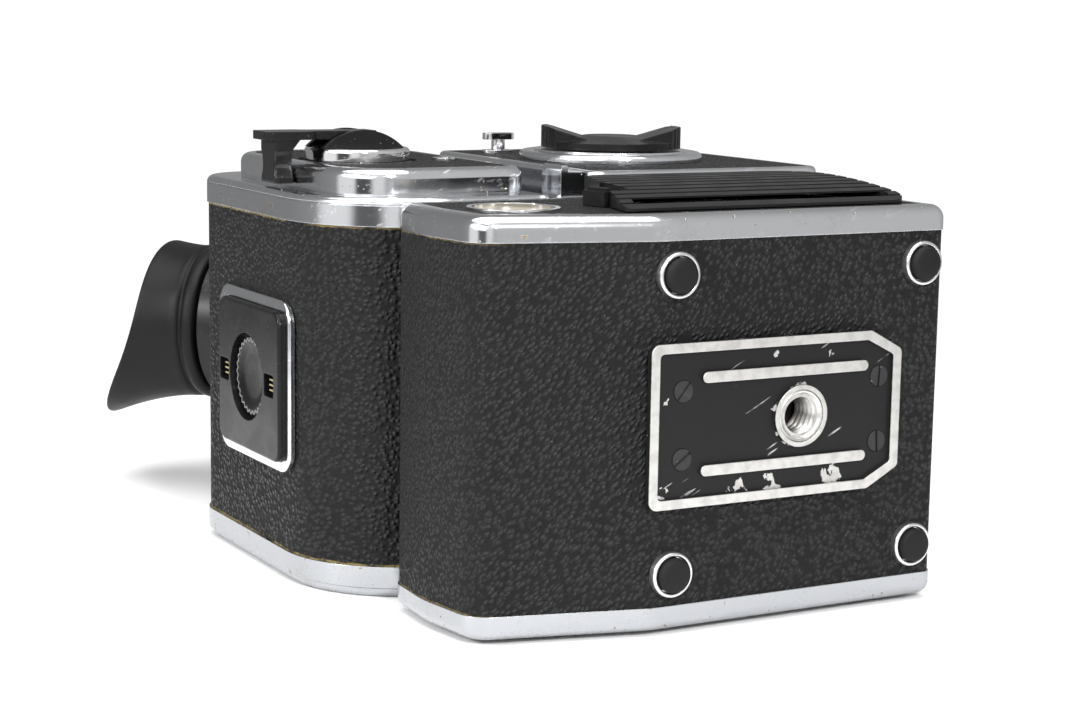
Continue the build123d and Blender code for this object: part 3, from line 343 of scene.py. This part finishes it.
def cream():
    """Cream enamel with stains; its tone is painted darker as painted shade for the floor deep in the well."""
    shader = Shader("cream_enamel")
    stain = shader.fade(shader.noise(3.0, 4.0), 0.45, 0.75)
    # painted shade: the cream tone is set darker for the shade down in the well
    base = shader.blend(shader.times(stain, 0.6), (0.36, 0.32, 0.24), (0.22, 0.18, 0.12))
    rough = shader.maths("MULTIPLY_ADD", stain, 0.2, 0.4)
    return shader.finish(base, rough, 0.0, shader.bump(shader.noise(0.7), 0.03))


def mark_paint(name, tone):
    """Thin printed or inlaid paint."""
    shader = Shader(name)
    faded = shader.fade(shader.noise(0.6, 3.0), 0.35, 0.7)
    dark = [0.6 * channel for channel in tone]
    return shader.finish(shader.blend(faded, dark, tone), 0.5, 0.0, shader.bump(shader.noise(0.3), 0.01))


# ---------------------------------------------------------------- mesh helpers
def piece(name, points, faces, material, body, smooth=40, levels=0):
    """A mesh object from points in frame metres, riding on a CAD body."""
    mesh = bpy.data.meshes.new(name)
    mesh.from_pydata([tuple(point) for point in points], [], faces)
    work = bmesh.new()
    work.from_mesh(mesh)
    bmesh.ops.remove_doubles(work, verts=work.verts, dist=0.001 * MM)
    bmesh.ops.recalc_face_normals(work, faces=work.faces)
    work.to_mesh(mesh)
    work.free()
    made = bpy.data.objects.new(name, mesh)
    bpy.context.scene.collection.objects.link(made)
    mesh.materials.append(material)
    for polygon in mesh.polygons:
        polygon.use_smooth = True
    mesh.set_sharp_from_angle(angle=math.radians(smooth))
    if levels:
        subdivide = made.modifiers.new("smooth", "SUBSURF")
        subdivide.levels = levels
        subdivide.render_levels = levels
    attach(made, body)
    return made


def placed(origin, axis, along):
    """Matrix whose Z is axis and whose X lies towards along."""
    z = Vector(axis).normalized()
    x = Vector(along)
    x = (x - x.dot(z) * z).normalized()
    y = z.cross(x)
    rows = [(x[i], y[i], z[i], Vector(origin)[i]) for i in range(3)]
    return Matrix((*rows, (0, 0, 0, 1)))


def grid_faces(rows, columns, close_rows=False):
    """Quads between rows of points; the columns always close on themselves."""
    faces = []
    for row in range(rows if close_rows else rows - 1):
        following = (row + 1) % rows
        for column in range(columns):
            beside = (column + 1) % columns
            faces.append((row * columns + column, row * columns + beside,
                          following * columns + beside, following * columns + column))
    return faces


def turned(name, profile, matrices, material, body, slot, segments=72, smooth=30):
    """A turned shape at each matrix: profile holds (radius, height) in mm, in order."""
    points = []
    faces = []
    for matrix in matrices:
        start = len(points)
        faces += [tuple(start + index for index in face) for face in grid_faces(len(profile), segments)]
        for radius, height in profile:
            for step in range(segments):
                angle = math.tau * step / segments
                local = Vector((radius * math.cos(angle), radius * math.sin(angle), height)) * MM
                points.append(matrix @ local)
    return piece(name, points, faces, material, body, smooth)


def blocks(name, spots, matrix, material, body):
    """Small bevelled blocks: spots holds (x, y, width, depth, height) in mm."""
    corner = 0.18
    points = []
    faces = []
    for x, y, width, depth, height in spots:
        start = len(points)
        for level, inset in ((0.0, 0.0), (height - corner, 0.0), (height, corner)):
            for side_x, side_y in ((-1, -1), (1, -1), (1, 1), (-1, 1)):
                local = Vector((x + side_x * (width / 2 - inset), y + side_y * (depth / 2 - inset), level))
                points.append(matrix @ (local * MM))
        faces += [tuple(start + index for index in face) for face in grid_faces(3, 4)]
        faces.append(tuple(start + index for index in (3, 2, 1, 0)))
        faces.append(tuple(start + index for index in (8, 9, 10, 11)))
    return piece(name, points, faces, material, body)


# ---------------------------------------------------------------- looks of the CAD nodes
grain_base = leather("leather_base", 0.95, (1.0, 0.62, 1.0), (0, 0, 38), 0.42,
                     edge_mm=38.2, glue_from_mm=62.0)
grain_magazine = leather("leather_magazine", 1.15, (1.0, 1.0, 0.75), (20, 0, 0), 0.5, edge_mm=37.35)
grain_panel = leather("leather_panel", 0.9, (1.0, 0.8, 1.0), (30, 0, 0), 0.3)
rim_chrome = chrome("rim_chrome", 0.15)
# A darker copy of the rim chrome, with heavier grime, for the parts beside the table: its darker tone is painted
# shade of the table's contact shadow.
shaded_chrome = chrome("shaded_chrome", 0.24, (0.42, 0.43, 0.45), grime=0.6)
satin_chrome = chrome("satin_chrome", 0.30, (0.72, 0.72, 0.73), 0.1, 0.3)
cover_chrome = chrome("cover_chrome", 0.12, grime=0.5)
bright_chrome = chrome("bright_chrome", 0.08, (0.76, 0.76, 0.77), 0.15, 0.3)
black_lacquer = enamel("black_lacquer", 0.008, 0.35)
crank_enamel = enamel("crank_enamel", 0.007, 0.22, 0.3, 0.3)
flock = enamel("flap_black", 0.008, 0.7, 0.2)
dial_plastic = plastic("dial_plastic", 0.007, 0.32)
ribbed_plastic = plastic("ribbed_plastic", 0.008, 0.42, 0.3, (1.0, 0.25, 1.0))
inner_plastic = plastic("inner_plastic", 0.02, 0.45)
worn_edge = plastic("worn_edge", 0.22, 0.4)
cup_rubber = rubber("cup_rubber")
pad_rubber = rubber("pad_rubber", 0.007, 0.6)
steel = turned_metal("turned_steel", (0.52, 0.51, 0.49))
brass = turned_metal("gear_brass_metal", (0.72, 0.52, 0.24), 0.26)
screw_steel = enamel("blackened_screw", 0.022, 0.36, 0.9, 0.12)
optical = glass("optical_glass")
ground = glass("ground_glass", (0.88, 0.88, 0.84), 0.5)
silver = turned_metal("mirror_silver_coat", (0.90, 0.90, 0.89), 0.03)
sleeve = enamel("cell_sleeve_wrap", 0.12, 0.4, 0.5)

LOOKS = {
    grain_base: ["base_leather"],
    grain_magazine: ["magazine_leather"],
    grain_panel: ["base_inlays", "body_leather", "front_leather", "raised_inlay"],
    rim_chrome: ["base_rim_right", "magazine_rim_right", "gear_cover"],
    # painted shade: the darker chrome copy goes on the parts next to the table
    shaded_chrome: ["base_rim_left", "magazine_rim_left", "insert_cover"],
    cover_chrome: ["raised_cover", "tab_frame", "magazine_catch", "dial_flange", "accessory_rail"],
    bright_chrome: ["well_ring", "foot_cups", "strap_lugs", "counter_window", "crank_disc", "lens_bayonet",
                    "lens_release_button", "magazine_latch", "film_key", "release_button_right",
                    "release_button_left"],
    black_lacquer: ["base_shell", "body_shell", "magazine_shell", "finder_housing", "eyepiece_tube"],
    crank_enamel: ["crank_hub", "crank_lever", "crank_grip"],
    flock: ["upper_flap", "lower_flap"],
    dial_plastic: ["selector_dial", "reminder_dial", "tab_block"],
    ribbed_plastic: ["battery_cover", "battery_latch"],
    inner_plastic: ["side_sockets", "take_up_spool", "supply_spool"],
    pad_rubber: ["foot_pads"],
    cup_rubber: ["eyecup"],
    steel: ["tripod_bushing", "motor", "drive_shaft", "insert_frame"],
    brass: ["motor_pinion", "drive_gear"],
    screw_steel: ["plate_screws"],
    plate_paint(): ["coupling_plate"],
    optical: ["finder_prism"],
    ground: ["focusing_screen"],
    silver: ["mirror"],
    sleeve: ["battery_cells"],
}
for look, nodes in LOOKS.items():
    for node in nodes:
        frame["nodes"][node].material_slots[0].material = look


# ---------------------------------------------------------------- rubber eyecup
def eyecup():
    """Collar and flare about the eyepiece axis, with the rim long on the left and low on the right."""
    seat = joints["cup_turn"]
    matrix = placed(seat["pos_m"], seat["axis"], (1, 0, 0))
    segments = 96
    steps = 9
    low_rim = 14.0
    sweep = 17.0
    collar_radius = 20.4
    collar_top = 3.5
    bore_radius = 17.5

    def rim_height(angle):
        return low_rim + sweep * ((1 + math.cos(angle)) / 2) ** 3.2

    def flare(height):
        return collar_radius + 0.0162 * max(0.0, height - 3.0) ** 1.8

    def thickness(height):
        return 2.3 - 0.045 * height

    def section(angle):
        """(radius, height) from the bore round the collar, up the outside, over the rim and down inside."""
        top = rim_height(angle)
        heights = [collar_top + (top - 0.5 - collar_top) * step / steps for step in range(1, steps + 1)]
        around = [(bore_radius, -1.6), (collar_radius - 0.9, -1.7), (collar_radius + 0.1, -1.2),
                  (collar_radius + 0.35, 0.2), (collar_radius + 0.3, 1.6), (collar_radius - 0.5, 2.3),
                  (collar_radius - 0.5, 2.9), (collar_radius + 0.25, collar_top)]
        around += [(flare(height), height) for height in heights]
        around += [(flare(top) - 0.3, top - 0.05), (flare(top) - 0.5 * thickness(top), top + 0.12),
                   (flare(top) - thickness(top) + 0.2, top - 0.05)]
        around += [(flare(height) - thickness(height), height) for height in reversed(heights)]
        return around + [(bore_radius + 0.5, 3.3), (bore_radius, 2.8)]

    angles = [math.tau * step / segments for step in range(segments)]
    columns = [section(angle) for angle in angles]
    count = len(columns[0])
    points = []
    for index in range(count):
        for angle, column in zip(angles, columns):
            radius, height = column[index]
            local = Vector((radius * math.cos(angle), radius * math.sin(angle), height)) * MM
            points.append(matrix @ local)
    faces = grid_faces(count, segments, close_rows=True)
    made = piece("rubber_eyecup", points, faces, cup_rubber, "cup", smooth=80, levels=1)
    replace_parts(made, "eyecup")


# ---------------------------------------------------------------- threaded tripod socket
def tripod_socket():
    """Bush with a rounded mouth and a real helical thread, 16 turns to the inch."""
    crest = mounts["tripod_socket"]["dims"]["r_mm"]
    depth = mounts["tripod_socket"]["dims"]["length_mm"]
    pitch = 25.4 / 16
    root = crest + 0.465 * pitch
    mouth = 0.7
    outer = 5.6
    segments = 64
    turns = math.ceil(depth / pitch) + 1
    # one turn of the thread as (radius, share of the pitch)
    shape = [(root, 0.0), (root, 0.12), (crest + 0.08, 0.42),
             (crest, 0.50), (crest + 0.08, 0.58), (root, 0.88)]
    points = []
    columns = len(shape)
    total = turns * segments
    for step in range(total + 1):
        angle = math.tau * step / segments
        for radius, share in shape:
            height = pitch * (step / segments + share - 1.0)
            height = min(max(height, mouth), depth)
            points.append(Vector((radius * math.cos(angle), radius * math.sin(angle), height)) * MM)
    faces = []
    for step in range(total):
        for column in range(columns - 1):
            first = step * columns + column
            faces.append((first, first + 1, first + columns + 1, first + columns))
        if step + segments <= total - 1:
            last = step * columns + columns - 1
            above = (step + segments) * columns
            faces.append((last, above, above + columns, last + columns))
    metal = ring_metal()
    thread = piece("socket_thread", points, faces, metal, "camera", 35)
    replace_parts(thread, "tripod_bushing")
    profile = [(0.0, depth), (root + 0.1, depth), (root + 0.1, mouth + 0.02), (root - 0.15, mouth),
               (root + 0.35, 0.12), (root + 0.75, 0.0), (outer - 0.25, 0.0), (outer, 0.2), (outer, 2.6)]
    turned("socket_bush", profile, [Matrix.Identity(4)], metal, "camera", "steel", 96)


# ---------------------------------------------------------------- small details
def well_floor():
    """Cream enamel floor in the ring on the right of the base."""
    low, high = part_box("well_ring")
    centre = (low + high) / 2
    ring_width = 1.2
    below_rim = 2.2
    radius = (high.y - low.y) / 2 / MM - ring_width
    matrix = placed((low.x + below_rim * MM, centre.y, centre.z), UP, (0, 1, 0))
    profile = [(0.0, 0.25), (0.5 * radius, 0.2), (0.8 * radius, 0.05), (radius, 0.3), (radius, -0.4)]
    turned("well_floor", profile, [matrix], cream(), "camera", "black_paint", 48)


def feet():
    """Heavy chrome rings with softly domed rubber pads in them."""
    half_pitch = 31.5 * MM
    low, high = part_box("foot_cups")
    middle = (low + high) / 2
    spots = [placed((side_x * half_pitch, middle.y + side_y * half_pitch, high.z), (0, 0, -1), (1, 0, 0))
             for side_x in (-1, 1) for side_y in (-1, 1)]
    rise = (high.z - low.z) / MM
    ring = [(3.9, 0.0), (3.9, rise - 0.3), (4.0, rise + 0.1), (4.2, rise + 0.3), (4.5, rise + 0.3),
            (4.78, rise + 0.1), (4.88, rise - 0.3), (4.88, 0.0)]
    turned("foot_rings", ring, spots, satin_chrome, "camera", "chrome", 64, 70)
    top = (high.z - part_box("foot_pads")[0].z) / MM
    pad = [(3.75, 0.0), (3.75, top - 0.9), (3.6, top - 0.4), (3.2, top - 0.1), (2.2, top - 0.01), (0.0, top)]
    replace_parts(turned("rubber_pads", pad, spots, pad_rubber, "camera", "rubber", 48, 60), "foot_pads")


def window_marks():
    """Small cream index marks in the two windows of the film-tab block."""
    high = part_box("tab_block")[1]
    dial = joints["dial_turn"]["pos_m"]
    matrix = placed((0, high.y - 0.9 * MM, dial[2]), (0, 1, 0), (0, 0, 1))
    paint = mark_paint("index_cream", (0.55, 0.47, 0.26))
    window = 13.8
    spacing = 1.2
    spots = [(side * window + 0.2, row * spacing, 2.2, 0.4, 0.25) for side in (-1, 1) for row in (-1, 0, 1)]
    blocks("window_marks", spots, matrix, paint, "magazine")


def reminder_dial():
    """Scalloped dial, deep in its opening, with a pale worn edge."""
    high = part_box("tab_block")[1]
    spot = joints["dial_turn"]["pos_m"]
    matrix = placed((0, high.y - 2.1 * MM, spot[2]), (0, 1, 0), (0, 0, 1))
    scallops = 28
    scallop_depth = 0.35
    segments = 8 * scallops

    def scalloped(name, profile, closed, look):
        points = []
        for base, height in profile:
            for step in range(segments):
                angle = math.tau * step / segments
                wave = scallop_depth * math.cos(scallops * angle) if base > 8.0 else 0.0
                radius = base + wave
                local = Vector((radius * math.cos(angle), radius * math.sin(angle), height))
                points.append(matrix @ (local * MM))
        return piece(name, points, grid_faces(len(profile), segments, closed), look, "dial")

    face = [(0.0, 0.15), (5.0, 0.15), (6.6, 0.35), (7.3, 0.9), (8.2, 0.9), (8.2, 0.2)]
    edge = [(8.2, 0.2), (8.2, 0.92), (8.7, 0.92), (8.7, 0.2)]
    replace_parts(scalloped("dial_face", face, False, dial_plastic), "reminder_dial")
    scalloped("dial_edge", edge, True, worn_edge)


eyecup()
tripod_socket()
well_floor()
reminder_dial()
feet()
window_marks()


# ---------------------------------------------------------------- camera
def look_from():
    """The camera stands below and behind the upright body, with the frame's -X nearly up in the picture."""
    aim = Vector((-10.7, 47.5, 30.0)) * MM
    distance = 471.4 * MM
    around = math.radians(107.96)
    below = math.radians(59.7)
    roll = math.radians(0.9)
    level = math.cos(below)
    towards = Vector((level * math.cos(around), level * math.sin(around), -math.sin(below)))
    right = UP.cross(towards).normalized()
    up = towards.cross(right)
    tilt = Matrix.Rotation(roll, 3, towards)
    right = tilt @ right
    up = tilt @ up
    data = bpy.data.cameras.new("camera")
    data.lens = 73.33
    data.sensor_width = 36.0
    data.clip_start = 0.01
    made = bpy.data.objects.new("camera", data)
    place = aim + towards * distance
    rows = [(right[i], up[i], towards[i], place[i]) for i in range(3)]
    made.matrix_world = Matrix((*rows, (0, 0, 0, 1)))
    bpy.context.scene.collection.objects.link(made)
    bpy.context.scene.camera = made


# ---------------------------------------------------------------- table
def table():
    """White sheet at the camera body's left side, clear from behind and far out, so it hides nothing."""
    half = 1.6
    mesh = bpy.data.meshes.new("table")
    corners = [(table_x, y, z) for y, z in ((-half, -half), (-half, half), (half, half), (half, -half))]
    mesh.from_pydata(corners, [], [(0, 1, 2, 3)])
    made = bpy.data.objects.new("table", mesh)
    bpy.context.scene.collection.objects.link(made)
    shader = Shader("table_white")
    paper = shader.finish(shader.blend(shader.noise(30.0), 0.93, 0.95), 0.6, Specular_IOR_Level=0.2)
    mesh.materials.append(paper)
    clear = shader.add("BsdfTransparent")
    behind = shader.add("NewGeometry").outputs["Backfacing"]
    out = shader.add("VectorMath", operation="DISTANCE")
    shader.join(shader.place, out.inputs[0])
    out.inputs[1].default_value = (table_x, 50.0 * MM, 80.0 * MM)
    far = shader.fade(out.outputs["Value"], 0.22, 0.42)
    both = shader.add("MixShader")
    shader.join(shader.most(behind, far), both.inputs["Fac"])
    shader.tree.links.new(shader.surface.outputs[0], both.inputs[1])
    shader.tree.links.new(clear.outputs[0], both.inputs[2])
    shader.tree.links.new(both.outputs[0], shader.tree.nodes["Material Output"].inputs["Surface"])


# ---------------------------------------------------------------- light
CARDS = [(0.0, 0.62), (0.06, 0.70), (0.30, 0.45), (0.50, 0.25), (0.60, 0.28), (0.70, 0.34), (0.725, 1.0),
         (0.80, 1.0), (0.82, 0.10), (0.88, 0.08), (0.90, 0.95), (0.94, 0.95), (0.96, 0.55), (1.0, 0.62)]


def softbox(name, spot, aim, width, height, power):
    """Rectangular area light at a spot, facing another; all in metres and watts."""
    data = bpy.data.lights.new(name, "AREA")
    data.shape = "RECTANGLE"
    data.size = width
    data.size_y = height
    data.energy = power
    made = bpy.data.objects.new(name, data)
    made.location = spot
    made.rotation_euler = (Vector(spot) - Vector(aim)).to_track_quat("Z", "Y").to_euler()
    bpy.context.scene.collection.objects.link(made)


def surroundings():
    """White to the eye; for what the chrome reflects, bright and dark cards stand around the camera body.

    CARDS holds (share of a turn about the frame's X axis, brightness), starting towards -Z.
    """
    world = bpy.data.worlds.new("studio")
    bpy.context.scene.world = world
    world.use_nodes = True
    tree = world.node_tree
    background = tree.nodes["Background"]
    place = tree.nodes.new("ShaderNodeTexCoord")
    split = tree.nodes.new("ShaderNodeSeparateXYZ")
    tree.links.new(place.outputs["Generated"], split.inputs[0])
    angle = tree.nodes.new("ShaderNodeMath")
    angle.operation = "ARCTAN2"
    tree.links.new(split.outputs["Y"], angle.inputs[0])
    tree.links.new(split.outputs["Z"], angle.inputs[1])
    share = tree.nodes.new("ShaderNodeMapRange")
    tree.links.new(angle.outputs[0], share.inputs["Value"])
    share.inputs["From Min"].default_value = -math.pi
    share.inputs["From Max"].default_value = math.pi
    ramp = tree.nodes.new("ShaderNodeValToRGB")
    tree.links.new(share.outputs["Result"], ramp.inputs[0])
    stops = ramp.color_ramp.elements
    for index, (position, level) in enumerate(CARDS):
        stop = stops[index] if index < 2 else stops.new(position)
        stop.position = position
        stop.color = colour(level)
    seen = tree.nodes.new("ShaderNodeLightPath")
    pick = tree.nodes.new("ShaderNodeMix")
    pick.data_type = "RGBA"
    tree.links.new(seen.outputs["Is Camera Ray"], pick.inputs["Factor"])
    tree.links.new(ramp.outputs["Color"], pick.inputs["A"])
    pick.inputs["B"].default_value = colour(1.05)
    tree.links.new(pick.outputs["Result"], background.inputs["Color"])


look_from()
table()
surroundings()
centre = Vector((0.0, 40.0, 80.0)) * MM
softbox("overhead", (-0.85, 0.15, 0.0), centre, 0.9, 0.9, 9.0)
softbox("side", (-0.35, 0.75, -0.35), centre, 0.5, 0.7, 2.2)
softbox("key_below", (-0.46, 0.16, -0.70), centre, 0.14, 0.14, 5.5)
softbox("key_behind", (-0.40, 0.86, 0.02), centre, 0.14, 0.14, 4.0)
bpy.context.scene.view_settings.view_transform = "Standard"
